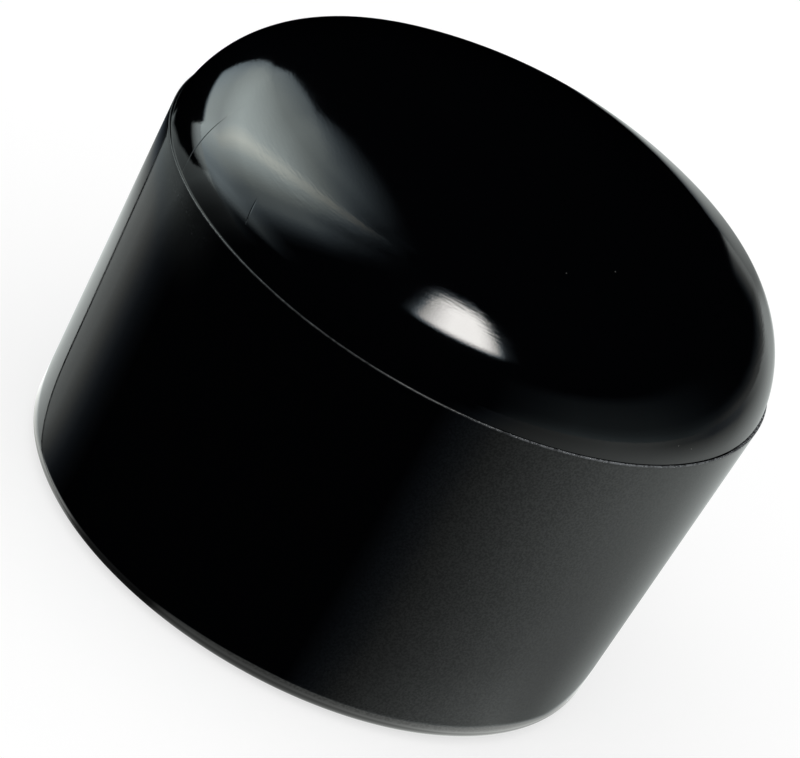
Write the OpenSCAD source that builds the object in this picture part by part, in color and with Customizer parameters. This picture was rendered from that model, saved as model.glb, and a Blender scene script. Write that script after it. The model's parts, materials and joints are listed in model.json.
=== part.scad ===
// Domed cap that pushes over the end of a round tube, moulded in one piece.
// The origin is at the middle of the rim, with +Z along the tube's axis up to the crown of the dome.

/* [Tube socket] */
// Diameter of the bore, the outside diameter of the tube that it takes
bore_d = 38; // [25:0.5:60]
// Depth of the socket, from the rim to the ledge that stops the tube
socket_depth = 24.5; // [16:0.5:28]
// Width of the ledge that the end of the tube butts against
stop_w = 1.7; // [1:0.1:4]
// Lead-in chamfer at the mouth of the bore
lead_in = 0.5; // [0.2:0.1:0.9]

/* [Skirt] */
// Thickness of the wall at the rim
rim_wall = 2.6; // [2.4:0.1:5]
// Height of the skirt, from the rim to the parting line
skirt_h = 25.5; // [22:0.1:40]
// Draft of the skirt, which widens from the rim up to the parting line
skirt_draft = 2.6; // [0.5:0.1:5]
// Radius of the rounded outer edge of the rim
rim_round = 1.65; // [0.4:0.05:2]

/* [Dome] */
// Height of the dome above the parting line
dome_h = 10.8; // [9:0.1:16]
// Ledge at the parting line, where the skirt stands proud of the dome
seam_step = 0.15; // [0.05:0.01:0.5]
// Lean of the dome's side where it rises from the parting line
dome_lean = 6.6; // [1:0.1:12]
// Radius of the dome's shoulder
shoulder_r = 8.3; // [5:0.1:10]
// Thickness of the wall under the crown
dome_wall = 3; // [2:0.1:4.5]
// Radius that rounds off the edge of the recess under the dome
recess_round = 3; // [1:0.1:5]

/* [Hidden] */
$fn = 180;

// How far a cutting shape runs past the face that it opens
overcut = 1;

bore_r = bore_d / 2;
top_z = skirt_h + dome_h;

// Radius of the skirt's outside at the parting line and, carried down to a sharp edge, at the rim
rim_r = bore_r + rim_wall;
seam_r = rim_r + skirt_h * tan(skirt_draft);

// Middle of the rim's round, which touches the rim's face and the skirt's side
round_x = rim_r + rim_round * (tan(skirt_draft) - 1 / cos(skirt_draft));

// Middle of the shoulder's arc, which starts at the parting line with the dome's lean
shoulder_x = seam_r - seam_step - shoulder_r * cos(dome_lean);
shoulder_z = skirt_h - shoulder_r * sin(dome_lean);

// The crown's arc has its middle on the axis and runs into the shoulder without an edge
rise = top_z - shoulder_z;
crown_r = (pow(rise, 2) + pow(shoulder_x, 2) - pow(shoulder_r, 2)) / (2 * (rise - shoulder_r));
crown_z = top_z - crown_r;

// The recess follows the crown at an even depth and is rounded off where it meets its own side
recess_r = bore_r - stop_w;
recess_crown_r = crown_r - dome_wall;
recess_edge_x = recess_r - recess_round;
recess_edge_z = crown_z + sqrt(pow(recess_crown_r - recess_round, 2) - pow(recess_edge_x, 2));

// Half section of the solid skirt, with its rounded rim
module skirt_section() {
    polygon([
        [0, 0],
        [round_x, 0],
        [round_x + rim_round * cos(skirt_draft), rim_round * (1 - sin(skirt_draft))],
        [seam_r, skirt_h],
        [0, skirt_h]
    ]);
    translate([round_x, rim_round]) circle(r = rim_round);
}

// Half section under a crown that is centred on the axis, with an arc at its edge that it runs into
module crown_section(crown, edge_x, edge_z, edge_r) {
    blend_x = edge_x * crown / (crown - edge_r);
    translate([edge_x, edge_z]) circle(r = edge_r);
    intersection() {
        translate([0, crown_z]) circle(r = crown);
        translate([0, edge_z]) square([blend_x, top_z - edge_z + overcut]);
    }
}

// Half section of the solid dome, from the parting line up
module dome_section() {
    intersection() {
        crown_section(crown_r, shoulder_x, shoulder_z, shoulder_r);
        translate([0, skirt_h]) square([seam_r, dome_h + overcut]);
    }
}

// Half section of the bore, with its lead-in at the mouth
module socket_section() {
    polygon([
        [0, -overcut],
        [bore_r + lead_in + overcut, -overcut],
        [bore_r, lead_in],
        [bore_r, socket_depth],
        [0, socket_depth]
    ]);
}

// Half section of the recess that cores out the dome above the ledge
module recess_section() {
    crown_section(recess_crown_r, recess_edge_x, recess_edge_z, recess_round);
    translate([0, socket_depth - overcut]) square([recess_r, recess_edge_z - socket_depth + overcut]);
}

module end_cap() {
    color([0.05, 0.05, 0.055])
    rotate_extrude()
    difference() {
        union() {
            skirt_section();
            dome_section();
        }
        socket_section();
        recess_section();
    }
}

end_cap();
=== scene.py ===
import json
import math

import bpy
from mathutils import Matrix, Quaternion, Vector


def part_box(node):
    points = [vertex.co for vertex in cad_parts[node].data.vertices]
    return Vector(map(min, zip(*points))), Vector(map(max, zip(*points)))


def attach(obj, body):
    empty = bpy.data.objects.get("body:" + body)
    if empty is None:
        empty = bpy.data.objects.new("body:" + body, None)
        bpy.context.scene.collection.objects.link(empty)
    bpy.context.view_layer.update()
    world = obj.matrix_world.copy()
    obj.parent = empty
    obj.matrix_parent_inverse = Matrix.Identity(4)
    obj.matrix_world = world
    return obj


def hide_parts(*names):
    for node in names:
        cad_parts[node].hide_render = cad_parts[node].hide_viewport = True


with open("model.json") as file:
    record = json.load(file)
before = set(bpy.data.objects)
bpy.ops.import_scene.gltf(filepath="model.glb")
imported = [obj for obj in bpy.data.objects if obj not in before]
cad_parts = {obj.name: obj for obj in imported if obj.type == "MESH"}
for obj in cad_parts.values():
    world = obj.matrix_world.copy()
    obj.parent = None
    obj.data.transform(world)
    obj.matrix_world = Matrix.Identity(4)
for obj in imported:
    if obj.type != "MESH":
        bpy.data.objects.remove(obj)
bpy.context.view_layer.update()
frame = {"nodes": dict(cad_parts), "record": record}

mm = 0.001
pureWhite = (1, 1, 1, 1)
scene = bpy.context.scene
scene.view_settings.view_transform = "Standard"
print("frame loaded:", sorted(frame["nodes"]))


# small helpers for node trees

def newTree(owner):
    owner.use_nodes = True
    tree = owner.node_tree
    tree.nodes.clear()
    return tree


def newMaterial(name):
    material = bpy.data.materials.new(name)
    return material, newTree(material)


def addNode(tree, kind, inputs=None, **settings):
    node = tree.nodes.new(kind)
    for name, value in settings.items():
        setattr(node, name, value)
    for name, value in (inputs or {}).items():
        feed(tree, node.inputs[name], value)
    return node


def feed(tree, socket, value):
    if isinstance(value, bpy.types.NodeSocket):
        tree.links.new(value, socket)
    else:
        socket.default_value = value


def calc(tree, operation, *terms):
    node = tree.nodes.new("ShaderNodeMath")
    node.operation = operation
    for socket, term in zip(node.inputs, terms):
        feed(tree, socket, term)
    return node.outputs[0]


def product(tree, *terms):
    result = terms[0]
    for term in terms[1:]:
        result = calc(tree, "MULTIPLY", result, term)
    return result


def total(tree, *terms):
    result = terms[0]
    for term in terms[1:]:
        result = calc(tree, "ADD", result, term)
    return result


def mapRange(tree, value, limits, **settings):
    node = addNode(tree, "ShaderNodeMapRange", {"Value": value}, **settings)
    for name, term in zip(("From Min", "From Max", "To Min", "To Max"), limits):
        feed(tree, node.inputs[name], term)
    return node.outputs[0]


def between(tree, value, limits):
    # straight from one value to another, and level outside
    return mapRange(tree, value, limits)


def ease(tree, value, fromMin, fromMax, toMin=0.0, toMax=1.0):
    # the same with soft ends
    return mapRange(tree, value, (fromMin, fromMax, toMin, toMax), interpolation_type="SMOOTHSTEP")


def profile(tree, value, stops):
    # a grey ramp over real values, such as degrees
    low, high = stops[0][0], stops[-1][0]
    ramp = addNode(tree, "ShaderNodeValToRGB", {"Fac": between(tree, value, (low, high, 0, 1))})
    elements = ramp.color_ramp.elements
    while len(elements) < len(stops):
        elements.new(0.5)
    for element, (at, level) in zip(elements, stops):
        element.position = (at - low) / (high - low)
        element.color = (level, level, level, 1)
    return ramp.outputs["Color"]


def blend(tree, share, first, second):
    node = addNode(tree, "ShaderNodeMix", data_type="RGBA")
    feed(tree, node.inputs["Factor"], share)
    feed(tree, node.inputs[6], first)     # the colour sockets
    feed(tree, node.inputs[7], second)
    return node.outputs[2]


def shine(tree, colour, strength):
    return addNode(tree, "ShaderNodeEmission", {"Color": colour, "Strength": strength}).outputs[0]


def addShaders(tree, first, second):
    node = addNode(tree, "ShaderNodeAddShader")
    feed(tree, node.inputs[0], first)
    feed(tree, node.inputs[1], second)
    return node.outputs[0]


def mixShaders(tree, share, first, second):
    node = addNode(tree, "ShaderNodeMixShader", {"Fac": share})
    feed(tree, node.inputs[1], first)
    feed(tree, node.inputs[2], second)
    return node.outputs[0]


def setSurface(tree, shader):
    addNode(tree, "ShaderNodeOutputMaterial", {"Surface": shader})


def objectPlace(tree):
    return addNode(tree, "ShaderNodeTexCoord").outputs["Object"]


def around(tree, place):
    # degrees round the axis (0 towards the front, + to the right), distance from the axis and height
    split = addNode(tree, "ShaderNodeSeparateXYZ", {"Vector": place})
    x, y = split.outputs["X"], split.outputs["Y"]
    forward = calc(tree, "MULTIPLY", y, -1.0)
    degrees = calc(tree, "DEGREES", calc(tree, "ARCTAN2", x, forward))
    reach = calc(tree, "SQRT", total(tree, calc(tree, "POWER", x, 2.0), calc(tree, "POWER", y, 2.0)))
    return degrees, reach, split.outputs["Z"]


# the moulding, drawn as a half section and spun round the axis

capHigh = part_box("end_cap")[1]
socketMount = next(m for m in frame["record"]["mounts"] if m["name"] == "tube_socket")
cap = {
    "boreR": socketMount["dims"]["r_mm"] * mm,
    "seamR": capHigh.x,               # widest place, at the parting line
    "topZ": capHigh.z,
    "socketDepth": 24.5 * mm,
    "stopW": 1.7 * mm,                # ledge that stops the tube
    "leadIn": 0.5 * mm,
    "skirtH": 25.5 * mm,
    "skirtDraft": math.radians(2.6),
    "rimRound": 1.65 * mm,
    "seamStep": 0.15 * mm,            # the skirt stands proud of the dome
    "seamRound": 0.08 * mm,           # soft edge of that step
    "domeLean": math.radians(6.6),
    "shoulderR": 8.3 * mm,
    "domeWall": 3 * mm,
    "recessRound": 3 * mm,
    "bandZ": 1.25 * mm,               # the smooth band at the rim ends here
    "domeFrom": 0.01 * mm,            # the dome's finish starts this far above the step
    "edgeStrip": 0.3 * mm,            # narrow faces at both ends of the skirt
    "weld": 0.002 * mm,
    "smoothUnder": math.radians(28),
    "turns": 600,                     # faces round the axis
    # faces along each stretch of the section, from the crown's outside to its inside
    "cuts": {"crown": 24, "shoulder": 28, "step": 2, "stepEdge": 6, "skirt": 10, "rim": 22,
             "bore": 6, "stop": 2, "recessSide": 2, "recessEdge": 10, "recessCrown": 14},
}
pen = {"x": 0.0, "z": 0.0}


def penAt(x, z):
    bpy.ops.object.select_all(action="DESELECT")
    bpy.ops.mesh.primitive_plane_add(size=mm)
    bpy.ops.object.mode_set(mode="EDIT")
    bpy.ops.mesh.merge(type="CENTER")
    bpy.ops.transform.translate(value=(x, 0, z))
    pen["x"], pen["z"] = x, z


def lineTo(x, z, pieces=1):
    step = ((x - pen["x"]) / pieces, 0, (z - pen["z"]) / pieces)
    for i in range(pieces):
        bpy.ops.mesh.extrude_region_move(TRANSFORM_OT_translate={"value": step})
    pen["x"], pen["z"] = x, z


def arcAbout(x, z, angle, pieces):
    # positive turns from the axis outwards and down
    bpy.ops.mesh.spin(steps=pieces, angle=-angle, center=(x, 0, z), axis=(0, 1, 0))
    dx, dz = pen["x"] - x, pen["z"] - z
    pen["x"] = x + dx * math.cos(angle) + dz * math.sin(angle)
    pen["z"] = z - dx * math.sin(angle) + dz * math.cos(angle)


def makeCap():
    c = cap
    cuts = c["cuts"]
    rightAngle = math.pi / 2
    draft = c["skirtDraft"]
    slope = math.tan(draft)
    rimR = c["seamR"] - c["skirtH"] * slope
    roundX = rimR + c["rimRound"] * (slope - 1 / math.cos(draft))
    roundTopX = roundX + c["rimRound"] * math.cos(draft)
    roundTopZ = c["rimRound"] * (1 - math.sin(draft))

    # the crown's arc runs into the shoulder's without an edge
    shoulderX = c["seamR"] - c["seamStep"] - c["shoulderR"] * math.cos(c["domeLean"])
    shoulderZ = c["skirtH"] - c["shoulderR"] * math.sin(c["domeLean"])
    rise = c["topZ"] - shoulderZ
    crownR = (rise ** 2 + shoulderX ** 2 - c["shoulderR"] ** 2) / (2 * (rise - c["shoulderR"]))
    crownZ = c["topZ"] - crownR
    crownTurn = math.asin(shoulderX / (crownR - c["shoulderR"]))

    # the recess follows the crown, with a rounded edge of its own
    recessR = c["boreR"] - c["stopW"]
    recessX = recessR - c["recessRound"]
    recessReach = crownR - c["domeWall"] - c["recessRound"]
    recessZ = crownZ + math.sqrt(recessReach ** 2 - recessX ** 2)
    recessTurn = math.asin(recessX / recessReach)

    penAt(0, c["topZ"])
    arcAbout(0, crownZ, crownTurn, cuts["crown"])
    arcAbout(shoulderX, shoulderZ, rightAngle - c["domeLean"] - crownTurn, cuts["shoulder"])
    lineTo(c["seamR"] - c["seamRound"], c["skirtH"], cuts["step"])
    arcAbout(pen["x"], c["skirtH"] - c["seamRound"], rightAngle + draft, cuts["stepEdge"])
    lineTo(pen["x"] - c["edgeStrip"] * slope, pen["z"] - c["edgeStrip"])
    lineTo(roundTopX + c["edgeStrip"] * slope, roundTopZ + c["edgeStrip"], cuts["skirt"])
    lineTo(roundTopX, roundTopZ)
    arcAbout(roundX, c["rimRound"], rightAngle - draft, cuts["rim"])
    lineTo(c["boreR"] + c["leadIn"], 0)
    lineTo(c["boreR"], c["leadIn"])
    lineTo(c["boreR"], c["socketDepth"], cuts["bore"])
    lineTo(recessR, c["socketDepth"], cuts["stop"])
    lineTo(recessR, recessZ, cuts["recessSide"])
    arcAbout(recessX, recessZ, recessTurn - rightAngle, cuts["recessEdge"])
    arcAbout(0, crownZ, -recessTurn, cuts["recessCrown"])
    bpy.ops.object.mode_set(mode="OBJECT")

    piece = bpy.context.object
    piece.name = piece.data.name = "endCap"
    spun = piece.modifiers.new("spun", "SCREW")
    spun.axis = "Z"
    spun.angle = 2 * math.pi
    spun.steps = spun.render_steps = c["turns"]
    spun.use_merge_vertices = True
    spun.merge_threshold = c["weld"]
    bpy.ops.object.modifier_apply(modifier="spun")
    bpy.ops.object.mode_set(mode="EDIT")
    bpy.ops.mesh.select_all(action="SELECT")
    bpy.ops.mesh.remove_doubles(threshold=c["weld"])
    bpy.ops.mesh.normals_make_consistent(inside=False)
    bpy.ops.object.mode_set(mode="OBJECT")
    bpy.ops.object.shade_smooth_by_angle(angle=c["smoothUnder"])
    print("cap modelled:", len(piece.data.polygons), "faces")
    return piece


# finishes: sizes of the marks and depths of the bumps in millimetres

anyFinish = {
    "ior": 1.5,
    "dustColour": (0.3, 0.3, 0.28, 1),
    "patchDetail": 4.0, "patchFrom": 0.3, "patchTo": 0.7,   # the noise that makes the gloss patchy
}
polish = {
    "colour": (0.0006, 0.0007, 0.001, 1),
    "roughLow": 0.03, "roughHigh": 0.07, "patchWide": 2.0,
    "streakLong": 20.0,               # polishing streaks to a radian round the axis
    "streakFine": 5.0,                # and to a millimetre up the dome
    "streakDeep": 0.008,
    "streakReach": [(18, 0.1), (19.6, 1), (20.3, 1), (20.7, 0.05)],   # by distance from the axis
    "grainWide": 0.14, "grainDeep": 0.0012,
    "waveWide": 4.0, "waveDeep": 0.003,
    "dustEvery": 1.0, "dustSize": 0.05, "dustShare": 0.8,
    "hairline": {"degrees": -58.2, "lean": -0.95, "fromZ": 25.6, "toZ": 31.4,
                 "soft": 0.2, "fade": 2.5, "wide": 0.07, "deep": 0.012},
    "nick": {"degrees": -38.0, "lean": -1.4, "fromZ": 27.4, "toZ": 29.0,
             "soft": 0.2, "fade": 0.7, "wide": 0.09, "deep": 0.01},
}
satin = {
    "colour": (0.0007, 0.0008, 0.0011, 1),
    "roughLow": 0.04, "roughHigh": 0.08, "patchWide": 3.0,
    "grainWide": 0.15, "grainDeep": 0.0012,
    "glint": (0.35, 0.65, 0.6, 1),    # the grain dulls the gloss in fine spots
    "waveWide": 5.0, "waveDeep": 0.002,
    "dustEvery": 1.1, "dustSize": 0.05, "dustShare": 0.86,
    # the edge of the step fades in over these distances, under the parting line and inside the widest place
    "edgeUnder": (0.14, 0.06), "edgeInside": (0.1, 0.06), "edgeRough": 0.25,
    # pale colour of worn scuffs and flash, also used for the painted highlight on the step's edge
    "wearAndHighlightColour": (0.18, 0.19, 0.2, 1), "wornRough": 0.3,
    "raggedWide": 0.3, "ragged": (0.35, 0.6, 0.3, 1),
    # how pale that edge is, partly worn flash and partly a painted highlight, and how much painted shade dims
    # its gloss, by degrees round the axis
    "edgeWearAndHighlight": [(-180, 0.2), (-58, 0.05), (-50, 0.15), (10, 0.2), (34, 0.9), (60, 1), (76, 0.75),
                 (88, 1), (112, 1), (130, 0.35), (180, 0.3)],
    # painted shade: how much the edge's gloss is dimmed
    "edgeGlossShade": [(-180, 0.85), (-61, 0.85), (-55, 0.5), (-44, 0.25), (-30, 0), (-18, 0), (-5, 0.35),
                 (8, 0.35), (20, 0), (180, 0)],
    # painted light: at the right the pale edge reaches right across the step, over the shade in the groove
    "ledgePaintedLight": [(70, 0), (84, 1), (112, 1), (125, 0)], "ledgeWide": 0.2,   # right across the step here
    # scuffs under the parting line, by degrees and by height
    "scuffs": [(-64, 0), (-58, 1), (-49, 1), (-41, 0)],
    "scuffsUp": [(23.2, 0), (24.4, 1), (25.2, 0)],
    "scuffWide": 0.16, "scuffFrom": (0.6, 0.75), "scuffStrength": 0.3,
}
rimBand = {
    "colour": (0.0007, 0.0008, 0.0011, 1),
    "roughLow": 0.06, "roughHigh": 0.1, "patchWide": 2.0,
    "waveWide": 3.0, "waveDeep": 0.001,
}
inside = {
    # the same black plastic set lighter than outside: painted light in the shaded socket
    "colour": (0.02, 0.02, 0.021, 1),
    "roughLow": 0.3, "roughHigh": 0.42, "patchWide": 2.0,
    "turnLong": 0.05, "turnFine": 3.0, "turnDeep": 0.002,   # faint rings round the bore
}


def plastic(name, look):
    material, tree = newMaterial(name)
    shader = addNode(tree, "ShaderNodeBsdfPrincipled", {
        "Base Color": look["colour"], "IOR": anyFinish["ior"]})
    setSurface(tree, shader.outputs[0])
    return material, tree, shader


def millimetres(tree):
    # object coordinates in millimetres
    perMetre = 1 / mm
    scaled = addNode(tree, "ShaderNodeMapping", {
        "Vector": objectPlace(tree), "Scale": (perMetre, perMetre, perMetre)})
    return scaled.outputs[0]


def noise(tree, place, size, detail=2.0):
    node = addNode(tree, "ShaderNodeTexNoise", {"Vector": place, "Scale": 1 / size, "Detail": detail})
    return node.outputs[0]


def setRoughness(tree, shader, place, look, extra=None):
    patches = noise(tree, place, look["patchWide"], anyFinish["patchDetail"])
    rough = between(tree, patches, (anyFinish["patchFrom"], anyFinish["patchTo"],
                                    look["roughLow"], look["roughHigh"]))
    for share, amount in extra or ():
        rough = calc(tree, "MULTIPLY_ADD", share, amount, rough)
    feed(tree, shader.inputs["Roughness"], rough)


def setBump(tree, shader, height):
    bump = addNode(tree, "ShaderNodeBump", {"Strength": 1.0, "Distance": mm, "Height": height})
    feed(tree, shader.inputs["Normal"], bump.outputs[0])


def setDusty(tree, shader, place, look, colour):
    specks = addNode(tree, "ShaderNodeTexVoronoi", {"Vector": place, "Scale": 1 / look["dustEvery"]})
    near = ease(tree, specks.outputs["Distance"], look["dustSize"] / look["dustEvery"], 0.0)
    chosen = calc(tree, "GREATER_THAN", specks.outputs["Color"], look["dustShare"])
    spots = product(tree, near, chosen)
    feed(tree, shader.inputs["Base Color"], blend(tree, spots, colour, anyFinish["dustColour"]))


def lineMark(tree, degrees, reach, height, mark):
    # a thin cut up the side, leaning by some degrees for each millimetre
    up = calc(tree, "SUBTRACT", height, mark["fromZ"])
    off = calc(tree, "SUBTRACT", degrees, calc(tree, "MULTIPLY_ADD", up, mark["lean"], mark["degrees"]))
    away = product(tree, calc(tree, "ABSOLUTE", calc(tree, "RADIANS", off)), reach)
    line = ease(tree, away, mark["wide"], 0.0)
    begin = ease(tree, height, mark["fromZ"] - mark["soft"], mark["fromZ"] + mark["soft"])
    end = ease(tree, height, mark["toZ"], mark["toZ"] - mark["fade"])
    return product(tree, line, begin, end, -mark["deep"])


def polishedDome():
    material, tree, shader = plastic("polishedDome", polish)
    place = millimetres(tree)
    degrees, reach, height = around(tree, place)
    split = addNode(tree, "ShaderNodeSeparateXYZ", {"Vector": place})
    brushed = addNode(tree, "ShaderNodeCombineXYZ", {
        "X": product(tree, calc(tree, "DIVIDE", split.outputs["X"], reach), polish["streakLong"]),
        "Y": product(tree, calc(tree, "DIVIDE", split.outputs["Y"], reach), polish["streakLong"]),
        "Z": product(tree, calc(tree, "SUBTRACT", height, reach), polish["streakFine"])}).outputs[0]
    rubbed = profile(tree, reach, polish["streakReach"])
    streaks = product(tree, noise(tree, brushed, 1.0, detail=3.0), rubbed, polish["streakDeep"])
    grain = product(tree, noise(tree, place, polish["grainWide"]), polish["grainDeep"])
    waves = product(tree, noise(tree, place, polish["waveWide"], detail=1.0), polish["waveDeep"])
    marks = total(tree, lineMark(tree, degrees, reach, height, polish["hairline"]),
                  lineMark(tree, degrees, reach, height, polish["nick"]))
    setBump(tree, shader, total(tree, streaks, grain, waves, marks))
    setRoughness(tree, shader, brushed, polish)
    setDusty(tree, shader, place, polish, polish["colour"])
    return material


def satinSkirt():
    material, tree, shader = plastic("satinSkirt", satin)
    place = millimetres(tree)
    degrees, reach, height = around(tree, place)
    grains = noise(tree, place, satin["grainWide"])
    grain = product(tree, grains, satin["grainDeep"])
    glint = ease(tree, grains, *satin["glint"])
    waves = product(tree, noise(tree, place, satin["waveWide"], detail=1.0), satin["waveDeep"])
    setBump(tree, shader, total(tree, grain, waves))

    # the edge of the step: pale from worn flash and a painted highlight, and its gloss dimmed by painted
    # shade in places
    edgeLow, edgeHigh = (cap["skirtH"] / mm - under for under in satin["edgeUnder"])
    edgeIn, edgeOut = (cap["seamR"] / mm - inwards for inwards in satin["edgeInside"])
    ragged = ease(tree, noise(tree, place, satin["raggedWide"], detail=3.0), *satin["ragged"])
    # painted light across the step at the right, over the groove's shade
    ledge = profile(tree, degrees, satin["ledgePaintedLight"])
    outward = calc(tree, "MULTIPLY_ADD", ledge, satin["ledgeWide"], reach)
    atEdge = product(tree, ease(tree, height, edgeLow, edgeHigh), ease(tree, outward, edgeIn, edgeOut))
    # pale edge: ragged worn flash, partly a painted highlight
    edge = product(tree, profile(tree, degrees, satin["edgeWearAndHighlight"]), ragged, atEdge)
    # painted shade on the edge's gloss, by degrees round the axis
    paintedEdgeShade = product(tree, profile(tree, degrees, satin["edgeGlossShade"]), atEdge)
    feed(tree, shader.inputs["Specular Tint"], product(tree, glint, calc(tree, "SUBTRACT", 1.0, paintedEdgeShade)))

    rubbed = ease(tree, noise(tree, place, satin["scuffWide"], detail=3.0), *satin["scuffFrom"])
    scuffs = product(tree, profile(tree, degrees, satin["scuffs"]), profile(tree, height, satin["scuffsUp"]),
                     rubbed, satin["scuffStrength"])
    # worn scuffs together with the edge's painted highlight
    wearAndHighlight = calc(tree, "MAXIMUM", edge, scuffs)
    setRoughness(tree, shader, place, satin, [(wearAndHighlight, satin["wornRough"]), (atEdge, satin["edgeRough"])])
    setDusty(tree, shader, place, satin, blend(tree, wearAndHighlight, satin["colour"], satin["wearAndHighlightColour"]))
    return material


def smoothRim():
    material, tree, shader = plastic("smoothRim", rimBand)
    place = millimetres(tree)
    waves = noise(tree, place, rimBand["waveWide"], detail=1.0)
    setBump(tree, shader, product(tree, waves, rimBand["waveDeep"]))
    setRoughness(tree, shader, place, rimBand)
    return material


def socketWall():
    material, tree, shader = plastic("socketWall", inside)
    place = millimetres(tree)
    rings = addNode(tree, "ShaderNodeMapping", {
        "Vector": place, "Scale": (inside["turnLong"], inside["turnLong"], inside["turnFine"])})
    turned = noise(tree, rings.outputs[0], 1.0, detail=3.0)
    setBump(tree, shader, product(tree, turned, inside["turnDeep"]))
    setRoughness(tree, shader, place, inside)
    return material


endCap = makeCap()
finishes = [polishedDome(), satinSkirt(), smoothRim(), socketWall()]
onDome, onSkirt, onRim, onSocket = range(len(finishes))
for finish in finishes:
    endCap.data.materials.append(finish)
for face in endCap.data.polygons:
    x, y, z = face.center
    facesIn = face.normal.x * x + face.normal.y * y + face.normal.z * (z - cap["socketDepth"]) < 0
    if facesIn:
        face.material_index = onSocket
    elif z > cap["skirtH"] + cap["domeFrom"]:
        face.material_index = onDome
    elif z > cap["bandZ"]:
        face.material_index = onSkirt
    else:
        face.material_index = onRim
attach(endCap, "root")
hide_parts("end_cap")
print("finishes set")


# studio: white floor and world, and a black tent and cloth that only reflections see

def glossOnly(piece):
    piece.visible_camera = False
    piece.visible_diffuse = False
    piece.visible_transmission = False
    piece.visible_volume_scatter = False
    piece.visible_shadow = False


def giveLight(piece, material):
    material.cycles.emission_sampling = "NONE"
    piece.data.materials.append(material)


def seenDirectly(tree):
    # camera, glossy and transmission rays
    path = addNode(tree, "ShaderNodeLightPath")
    seen = total(tree, path.outputs["Is Camera Ray"], path.outputs["Is Glossy Ray"],
                 path.outputs["Is Transmission Ray"])
    return calc(tree, "MINIMUM", seen, 1.0)


room = {"ambient": 0.6, "white": 1.0}


def makeRoom():
    world = bpy.data.worlds.new("whiteRoom")
    scene.world = world
    world.cycles.sampling_method = "NONE"   # the tent then hides it from the gloss
    tree = newTree(world)
    strength = between(tree, seenDirectly(tree), (0, 1, room["ambient"], room["white"]))
    background = addNode(tree, "ShaderNodeBackground", {"Color": pureWhite, "Strength": strength})
    addNode(tree, "ShaderNodeOutputWorld", {"Surface": background.outputs[0]})


floorLook = {"radius": 8.0, "drop": 0.02 * mm, "colour": (0.36, 0.36, 0.36, 1), "lift": 0.68}


def makeFloor():
    bpy.ops.object.select_all(action="DESELECT")
    bpy.ops.mesh.primitive_circle_add(vertices=96, radius=floorLook["radius"], fill_type="NGON",
                                      location=(0, 0, -floorLook["drop"]))
    floor = bpy.context.object
    floor.name = "floor"
    material, tree = newMaterial("whiteFloor")
    matt = addNode(tree, "ShaderNodeBsdfDiffuse", {"Color": floorLook["colour"]})
    glow = shine(tree, pureWhite, product(tree, seenDirectly(tree), floorLook["lift"]))
    lit = addShaders(tree, matt.outputs[0], glow)
    under = addNode(tree, "ShaderNodeNewGeometry").outputs["Backfacing"]
    clear = addNode(tree, "ShaderNodeBsdfTransparent").outputs[0]
    setSurface(tree, mixShaders(tree, under, lit, clear))   # clear from below
    giveLight(floor, material)


sun = {"strength": 1.2, "softness": math.radians(100), "tilt": (math.radians(25), 0, math.radians(-20))}


def makeSun():
    bpy.ops.object.light_add(type="SUN", location=(0, 0, 1), rotation=sun["tilt"])
    lamp = bpy.context.object
    lamp.name = "softTopLight"
    lamp.data.energy = sun["strength"]
    lamp.data.angle = sun["softness"]
    lamp.data.specular_factor = 0         # the panels make the highlights
    lamp.visible_glossy = False


makeRoom()
makeFloor()
makeSun()

# lit panels, by degrees round the object (+ to the right of the camera) and degrees above the floor
tent = {
    "radius": 2.0, "bottom": -0.1,
    "edgeTint": (0.7, 0.88, 1, 1), "tintUnder": 0.3,   # the soft borders of the panels are cooler
}
# the window's edges and foot are given as from and to in degrees above the floor, then the shift at each;
# across counts from 0 at its left edge to 1 at its right, also in the two panels after it
leftWindow = {
    "colour": (0.88, 1, 0.98, 1), "strength": 7.6,
    "leftEdge": -152, "leftFoot": (0, 20, 9.5, 0), "leftTop": (25.5, 39.2, 0, 4.8),
    "rightEdge": -66, "rightLean": 0.6, "rightFoot": (-8, 12, -42, 0),
    "sill": (0.8, 3.4), "sillEnd": (-122.8, -121.2),   # it stands on a dark sill at the left
    "across": [(0, 0), (0.008, 0.15), (0.05, 0.285), (0.09, 0.36), (0.16, 0.47), (0.26, 0.62),
               (0.36, 0.77), (0.41, 0.81), (0.47, 0.72), (0.55, 0.5), (0.62, 0.31), (0.67, 0.215),
               (0.74, 0.183), (0.8, 0.087), (0.85, 0.035), (0.89, 0.011), (0.95, 0)],
    "up": [(-3, 0), (-1, 0.4), (12, 0.54), (24, 0.98), (34, 1), (45, 0.86), (52, 0.62), (58, 0.39),
           (64, 0.21), (68, 0.1), (72, 0.03), (80, 0)],
    # higher up it fades out towards both sides
    "leftSoft": (38, 54, 0.005, 0.1), "rightSoft": (44, 62, 0, 0.45), "rightSoftFrom": (0.56, 0.68),
}
windowFoot = {
    "colour": (0.8, 0.95, 1, 1), "strength": 1.6,
    "across": [(0, 0), (0.02, 0.2), (0.3, 0.2), (0.6, 0.8), (0.75, 1), (0.84, 0.94), (0.89, 0.67),
               (0.95, 0.32), (1, 0.12), (1.06, 0)],
    "up": [(-6, 1), (4, 1), (9, 0.78), (12, 0.48), (15, 0.27), (18, 0.13), (22, 0)],
}
warmStrip = {
    "colour": (1, 0.88, 0.64, 1), "strength": 2.2,
    "across": [(0.34, 0), (0.42, 1), (0.5, 0.12), (0.58, 0)],
    "up": [(4, 0), (12, 0.35), (25, 0.9), (40, 1), (52, 0.6), (61, 0.43), (69, 0.3), (76, 0)],
}
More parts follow.
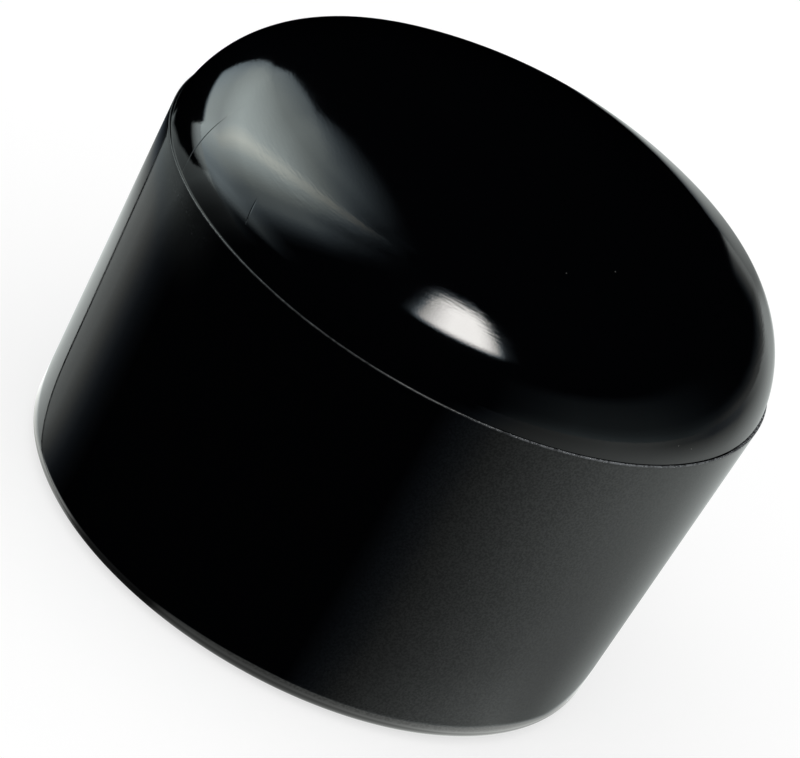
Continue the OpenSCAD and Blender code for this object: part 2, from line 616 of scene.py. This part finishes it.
lowGlow = {
    "colour": (0.8, 0.95, 1, 1), "strength": 1.0,
    "across": [(-100, 0), (-94, 0.3), (-88, 0.45), (-83, 0.3), (-78, 0.14), (-70, 0.04), (-64, 0)],
    "up": [(-3, 1), (1, 1), (3, 0.8), (6, 0.3), (9, 0)],
}
frontPanel = {
    "colour": (1, 0.99, 0.96, 1), "strength": 21,
    "across": [(-15, 0), (-11, 0.02), (-9, 0.07), (-4.5, 0.4), (2.5, 0.81), (8, 1), (22, 1), (26.5, 0.81),
               (30.7, 0.36), (33.5, 0.03), (36, 0.008), (41, 0)],
    "up": [(43, 0), (45, 0.25), (47.5, 0.9), (49.5, 1), (67, 1), (71, 0.75), (75, 0.26), (78, 0.05),
           (80, 0)],
}
rightGlow = {
    "colour": (0.78, 0.95, 1, 1), "strength": 0.46,
    "across": [(30, 0), (45, 0.5), (60, 1), (75, 1), (90, 0.8), (105, 0.38), (120, 0.06), (135, 0)],
    "up": [(-2, 1), (1, 0.9), (5, 0.55), (10, 0.35), (20, 0.27), (26, 0.22), (33, 0)],
}
backGlow = {
    "colour": (0.95, 1, 0.98, 1), "strength": 0.4,
    "across": [(100, 0), (130, 0.45), (155, 0.5), (160, 0.85), (164, 1), (171, 1), (174, 0)],
    "up": [(-3, 1), (0, 1), (2.5, 0.82), (4.5, 0.42), (6.5, 0.26), (8.5, 0.09), (10.5, 0)],
}
# where the light behind the cap ends, lower further round
backEdge = {
    "slope": -1.55, "level": 262.0, "soft": 0.7,
    "fade": [(-0.6, 0), (0.3, 0.35), (2.5, 0.62), (4.5, 0.88), (8, 1)],
}


def windowShare(tree, degrees, upward):
    # 0 at the window's left edge and 1 at its right, which leans outwards
    w = leftWindow
    left = total(tree, between(tree, upward, w["leftFoot"]), between(tree, upward, w["leftTop"]),
                 w["leftEdge"])
    leaning = calc(tree, "MULTIPLY_ADD", upward, w["rightLean"], w["rightEdge"])
    right = total(tree, leaning, between(tree, upward, w["rightFoot"]))
    return calc(tree, "DIVIDE", calc(tree, "SUBTRACT", degrees, left), calc(tree, "SUBTRACT", right, left))


def softSides(tree, share, upward):
    w = leftWindow
    left = calc(tree, "MINIMUM", calc(tree, "DIVIDE", share, between(tree, upward, w["leftSoft"])), 1.0)
    right = product(tree, ease(tree, share, *w["rightSoftFrom"]), between(tree, upward, w["rightSoft"]))
    return product(tree, left, calc(tree, "SUBTRACT", 1.0, right))


def underBackEdge(tree, degrees, upward):
    edge = calc(tree, "MULTIPLY_ADD", degrees, backEdge["slope"], backEdge["level"])
    return calc(tree, "SUBTRACT", edge, upward)


def pitchTent():
    bpy.ops.object.select_all(action="DESELECT")
    bpy.ops.mesh.primitive_uv_sphere_add(segments=96, ring_count=48, radius=tent["radius"])
    piece = bpy.context.object
    piece.name = "blackTent"
    bpy.ops.object.mode_set(mode="EDIT")
    bpy.ops.mesh.select_all(action="SELECT")
    bpy.ops.mesh.bisect(plane_co=(0, 0, tent["bottom"]), plane_no=(0, 0, 1), clear_inner=True)
    bpy.ops.object.mode_set(mode="OBJECT")
    glossOnly(piece)
    return piece


def makeTent():
    piece = pitchTent()
    material, tree = newMaterial("tentPanels")
    degrees, reach, height = around(tree, objectPlace(tree))
    upward = calc(tree, "DEGREES", calc(tree, "ARCTAN2", height, reach))
    share = windowShare(tree, degrees, upward)
    aboveSill = calc(tree, "MAXIMUM", ease(tree, upward, *leftWindow["sill"]),
                     ease(tree, degrees, *leftWindow["sillEnd"]))
    glows = []
    for panel, place in ((leftWindow, share), (windowFoot, share), (warmStrip, share), (lowGlow, degrees),
                         (frontPanel, degrees), (rightGlow, degrees), (backGlow, degrees)):
        level = product(tree, profile(tree, place, panel["across"]), profile(tree, upward, panel["up"]))
        if place is share:
            level = product(tree, level, aboveSill)
        if panel is leftWindow:
            level = product(tree, level, softSides(tree, share, upward))
        if panel is backGlow:
            under = underBackEdge(tree, degrees, upward)
            level = product(tree, level, ease(tree, under, -backEdge["soft"], backEdge["soft"]))
        colour = blend(tree, ease(tree, level, 0, tent["tintUnder"]), tent["edgeTint"], panel["colour"])
        glows.append(shine(tree, colour, product(tree, level, panel["strength"])))
    lit = glows[0]
    for glow in glows[1:]:
        lit = addShaders(tree, lit, glow)
    setSurface(tree, lit)
    giveLight(piece, material)


makeTent()

# black cloth on the floor, which lets some of the white floor through and glows in places;
# side means the side of the skirt that mirrors the place, in degrees, and nearness is 1 over millimetres
cloth = {
    "radius": 2.0, "hole": 20 * mm, "drop": 0.01 * mm,
    "tint": (0.94, 1, 0.98, 1), "shadeTint": (0.66, 0.82, 1, 1), "tintUnder": 0.3,
    "glowTint": (0.88, 1, 1, 1), "stripTint": (0.97, 1, 0.97, 1),
    "mirror": 2.1,                    # the skirt mirrors the floor at about twice its own angle
    # left of the cap and close by, by side
    "leftNear": [(-74, 0.48), (-65, 0.46), (-63.5, 0.4), (-60.5, 0.29), (-57, 0.17), (-53, 0.065),
                 (-50, 0.03), (-46, 0)],
    "leftEnd": (50 * mm, 60 * mm),
    # further off, by degrees round the axis and by nearness, with a dark gap before the white part
    "leftFar": [(-128, 0.38), (-105, 0.36), (-98, 0.34), (-94, 0.22), (-89, 0.14), (-84, 0.08),
                (-79, 0.06), (-72, 0.02), (-66, 0)],
    "farLift": 4.0,
    "farShare": [(0, 0.75), (0.0022, 0.52), (0.0045, 0.4), (0.0065, 0.33), (0.0095, 0.25)],
    "gapFrom": [(-128, 1), (-120, 0.85), (-115, 0.78), (-111, 0.67), (-104, 0.5), (-101, 0.26), (-99, 0)],
    "gapScale": 0.0135, "gapShift": -0.001, "gapSoft": 0.0008,
    "whiteEdge": (-109, -87, 0.0042, 0), "whiteLeft": (-122.6, -121.2), "whiteGlow": 2.05,
    "whiteRise": [(-0.0004, 0), (0.0008, 0.44), (0.002, 0.8), (0.003, 1)],
    # right of the cap, close by and further off, by side
    "rightNear": [(8, 0), (16, 0.18), (24, 0.48), (32, 0.75), (40, 0.91), (48, 0.9), (56, 0.76),
                  (64, 0.65), (71, 0.66), (90, 0.7)],
    "rightFar": [(12, 0), (21, 0.25), (36, 0.6), (43, 0.5), (50, 0.25), (57, 0.13), (64, 0.17),
                 (77, 0.68), (80, 0.5), (83, 0)],
    "rightFade": (100 * mm, 350 * mm), "rightShade": (30 * mm, 54 * mm, 0.76, 1), "rightEnd": (160, 166),
    "rightLift": 0.4, "rightLiftSide": (62, 48),
    "rightLiftNear": [(24 * mm, 1), (28 * mm, 0.6), (31 * mm, 0.3), (40 * mm, 0)],
    # behind the cap, by degrees round the axis
    "back": [(160, 0), (166, 0.3), (169, 0.36), (172.5, 0.52), (175.5, 0.65), (178, 0.65), (180, 0)],
    "backSeen": -2080.0,              # nearness to degrees above the horizon, as the crown sees the floor
    # bright strip that the rim stands on, by degrees round the axis
    "contact": [(-180, 0.5), (-62, 0.58), (-52, 0.52), (-47, 0.37), (-43, 0.1), (-38, 0.035), (-20, 0.02),
                (-16, 0.2), (-10, 0.27), (8, 0.32), (30, 0.6), (45, 0.9), (58, 0.8), (75, 0.4), (180, 0.3)],
    "contactReach": [(-75, 0.35), (-60, 0.35), (-45, 0), (-22, 0), (-8, 0.6), (3, 1), (40, 1),
                     (58, 0.85), (75, 0.35)],
    "contactSlim": 22.05 * mm, "contactWide": 1.3 * mm, "contactSoft": 0.45 * mm, "contactGlow": 2.8,
    "contactShade": (21.6 * mm, 22.0 * mm, 0.5, 1),
    # thin dark joint with a lighter sheet beyond it, which bends round towards the rim
    "jointSide": -74, "jointBend": 13, "jointFrom": 23 * mm, "jointReach": 1.6 * mm,
    "jointWide": (0.5, 0.8), "jointSoft": 0.2,
    "sheetWhite": 0.9, "sheetEnd": (37 * mm, 61 * mm), "sheetBack": (-180, -172),
}


def layCloth():
    bpy.ops.object.select_all(action="DESELECT")
    bpy.ops.mesh.primitive_circle_add(vertices=128, radius=cloth["hole"], fill_type="NOTHING")
    piece = bpy.context.object
    piece.name = "blackCloth"
    grow = cloth["radius"] / cloth["hole"]
    bpy.ops.object.mode_set(mode="EDIT")
    bpy.ops.mesh.select_all(action="SELECT")
    bpy.ops.mesh.extrude_region_move(TRANSFORM_OT_translate={"value": (0, 0, 0)})
    bpy.ops.transform.resize(value=(grow, grow, 1))
    bpy.ops.mesh.select_all(action="SELECT")
    bpy.ops.transform.translate(value=(0, 0, -cloth["drop"]))
    bpy.ops.object.mode_set(mode="OBJECT")
    glossOnly(piece)
    return piece


def makeCloth():
    piece = layCloth()
    material, tree = newMaterial("blackCloth")
    degrees, reach = around(tree, objectPlace(tree))[:2]
    mirrored = calc(tree, "SUBTRACT", cloth["mirror"], calc(tree, "DIVIDE", cap["seamR"], reach))
    side = calc(tree, "DIVIDE", degrees, mirrored)
    nearness = calc(tree, "DIVIDE", mm, reach)

    # the joint and the sheet beyond it
    inward = calc(tree, "DIVIDE", calc(tree, "SUBTRACT", cloth["jointFrom"], reach), cloth["jointReach"])
    joint = calc(tree, "MULTIPLY_ADD", calc(tree, "EXPONENT", inward), cloth["jointBend"], cloth["jointSide"])
    past = calc(tree, "SUBTRACT", side, joint)
    soft = cloth["jointSoft"]
    offJoint = ease(tree, calc(tree, "ABSOLUTE", past), *cloth["jointWide"])
    beforeJoint = ease(tree, past, -soft, soft)
    sheet = product(tree, ease(tree, past, soft, -soft, 0, cloth["sheetWhite"]),
                    ease(tree, reach, *cloth["sheetEnd"], 1, 0), ease(tree, degrees, *cloth["sheetBack"]))

    # left, near and far
    leftNear = product(tree, profile(tree, side, cloth["leftNear"]), beforeJoint,
                       ease(tree, reach, *cloth["leftEnd"], 1, 0))
    left = total(tree, sheet, leftNear)
    gap = profile(tree, degrees, cloth["gapFrom"])
    gapStart = calc(tree, "MULTIPLY_ADD", gap, cloth["gapScale"], cloth["gapShift"])
    beforeGap = ease(tree, calc(tree, "SUBTRACT", nearness, gapStart), -cloth["gapSoft"], cloth["gapSoft"])
    leftFar = product(tree, profile(tree, degrees, cloth["leftFar"]),
                      profile(tree, nearness, cloth["farShare"]), cloth["farLift"], beforeGap, beforeJoint,
                      ease(tree, reach, *cloth["leftEnd"]))
    pastEdge = calc(tree, "SUBTRACT", between(tree, degrees, cloth["whiteEdge"]), nearness)
    whitePart = product(tree, profile(tree, pastEdge, cloth["whiteRise"]), cloth["whiteGlow"],
                        ease(tree, degrees, *cloth["whiteLeft"]))
    leftGlow = total(tree, leftFar, whitePart)

    # right, near and far, and behind
    fadeFrom, fadeTo = (mm / distance for distance in cloth["rightFade"])
    lift = product(tree, profile(tree, reach, cloth["rightLiftNear"]),
                   ease(tree, side, *cloth["rightLiftSide"]), cloth["rightLift"])
    rightNear = product(tree, profile(tree, side, cloth["rightNear"]),
                        between(tree, nearness, (fadeTo, fadeFrom, 0, 1)),
                        total(tree, between(tree, reach, cloth["rightShade"]), lift))
    rightFar = product(tree, profile(tree, side, cloth["rightFar"]),
                       between(tree, nearness, (fadeTo, fadeFrom, 1, 0)))
    right = product(tree, total(tree, rightNear, rightFar), ease(tree, degrees, *cloth["rightEnd"], 1, 0))
    upward = calc(tree, "MULTIPLY", nearness, cloth["backSeen"])
    behind = product(tree, profile(tree, degrees, cloth["back"]),
                     profile(tree, underBackEdge(tree, degrees, upward), backEdge["fade"]))
    openFloor = product(tree, total(tree, left, right, behind), offJoint)

    # the strip under the rim
    stripReach = profile(tree, degrees, cloth["contactReach"])
    stripEnd = calc(tree, "MULTIPLY_ADD", stripReach, cloth["contactWide"], cloth["contactSlim"])
    inStrip = ease(tree, calc(tree, "SUBTRACT", reach, stripEnd), 0, cloth["contactSoft"], 1, 0)
    strip = product(tree, profile(tree, degrees, cloth["contact"]), inStrip, offJoint, cloth["contactGlow"],
                    ease(tree, reach, *cloth["contactShade"]))
    opening = product(tree, openFloor, calc(tree, "SUBTRACT", 1.0, inStrip))

    black = addNode(tree, "ShaderNodeBsdfDiffuse", {"Color": (0, 0, 0, 1)})
    openTint = blend(tree, ease(tree, opening, 0, cloth["tintUnder"]), cloth["shadeTint"], cloth["tint"])
    clear = addNode(tree, "ShaderNodeBsdfTransparent", {"Color": openTint})
    woven = mixShaders(tree, opening, black.outputs[0], clear.outputs[0])
    glowColour = blend(tree, inStrip, cloth["glowTint"], cloth["stripTint"])
    glow = shine(tree, glowColour, total(tree, leftGlow, strip))
    setSurface(tree, addShaders(tree, woven, glow))
    giveLight(piece, material)


makeCloth()
print("studio set")


# camera, fitted to the photo's outline

shot = {
    "aim": Vector((0, -0.34, 14.61)) * mm,
    "distance": 341.37 * mm,
    "down": math.radians(26.337),
    "roll": math.radians(29.876),
    "lens": 223.388, "sensor": 36,
    "clip": (0.01, 50),
}


def makeCamera():
    bpy.ops.object.camera_add()
    camera = bpy.context.object
    camera.name = "photoCamera"
    back = Vector((0, -math.cos(shot["down"]), math.sin(shot["down"])))
    camera.location = shot["aim"] + back * shot["distance"]
    level = (-back).to_track_quat("-Z", "Y")
    camera.rotation_mode = "QUATERNION"
    camera.rotation_quaternion = level @ Quaternion((0, 0, 1), shot["roll"])
    camera.data.lens = shot["lens"]
    camera.data.sensor_width = shot["sensor"]
    camera.data.clip_start, camera.data.clip_end = shot["clip"]
    scene.camera = camera


makeCamera()
print("camera set")
